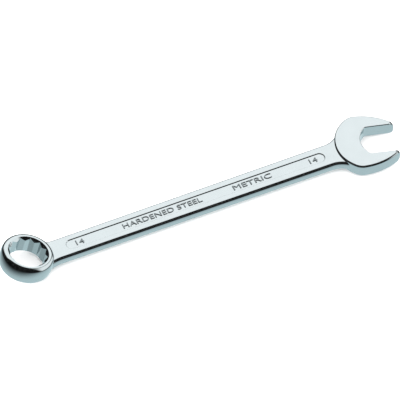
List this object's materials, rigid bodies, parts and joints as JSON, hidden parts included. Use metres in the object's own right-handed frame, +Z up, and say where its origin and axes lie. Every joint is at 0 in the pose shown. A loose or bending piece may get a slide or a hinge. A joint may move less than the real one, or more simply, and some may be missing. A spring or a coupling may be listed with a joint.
{
  "type": "combination wrench",
  "caption": "Hand wrench with a leaning twelve-point ring at one end, angled open jaws at the other and a flat shank with a sunk panel between them.",
  "frame": {"origin": "middle of the wrench's length, on the shank's centre line, at the level of the surface that it lies on", "axes": "+X along the shank from the ring towards the open jaws, +Z up, with the ring's outer edge rising; the jaws turn towards -Y"},
  "size_m": [0.1787, 0.0281, 0.0128],
  "materials": {
    "polished_chrome": "bright chromium plate on a tumbled forging",
    "satin_chrome": "satin chromium plate on a forged shank",
    "satin_chrome_head": "satin chromium plate on ground head faces, bright on the edges",
    "raised_marks": "satin chromium plate on raised forged marks"
  },
  "bodies": {
    "root": {"ring_head": "polished_chrome", "shank": "satin_chrome", "open_end_head": "satin_chrome_head", "size_marks": "raised_marks", "word_marks": "raised_marks"}
  },
  "joints": []
}
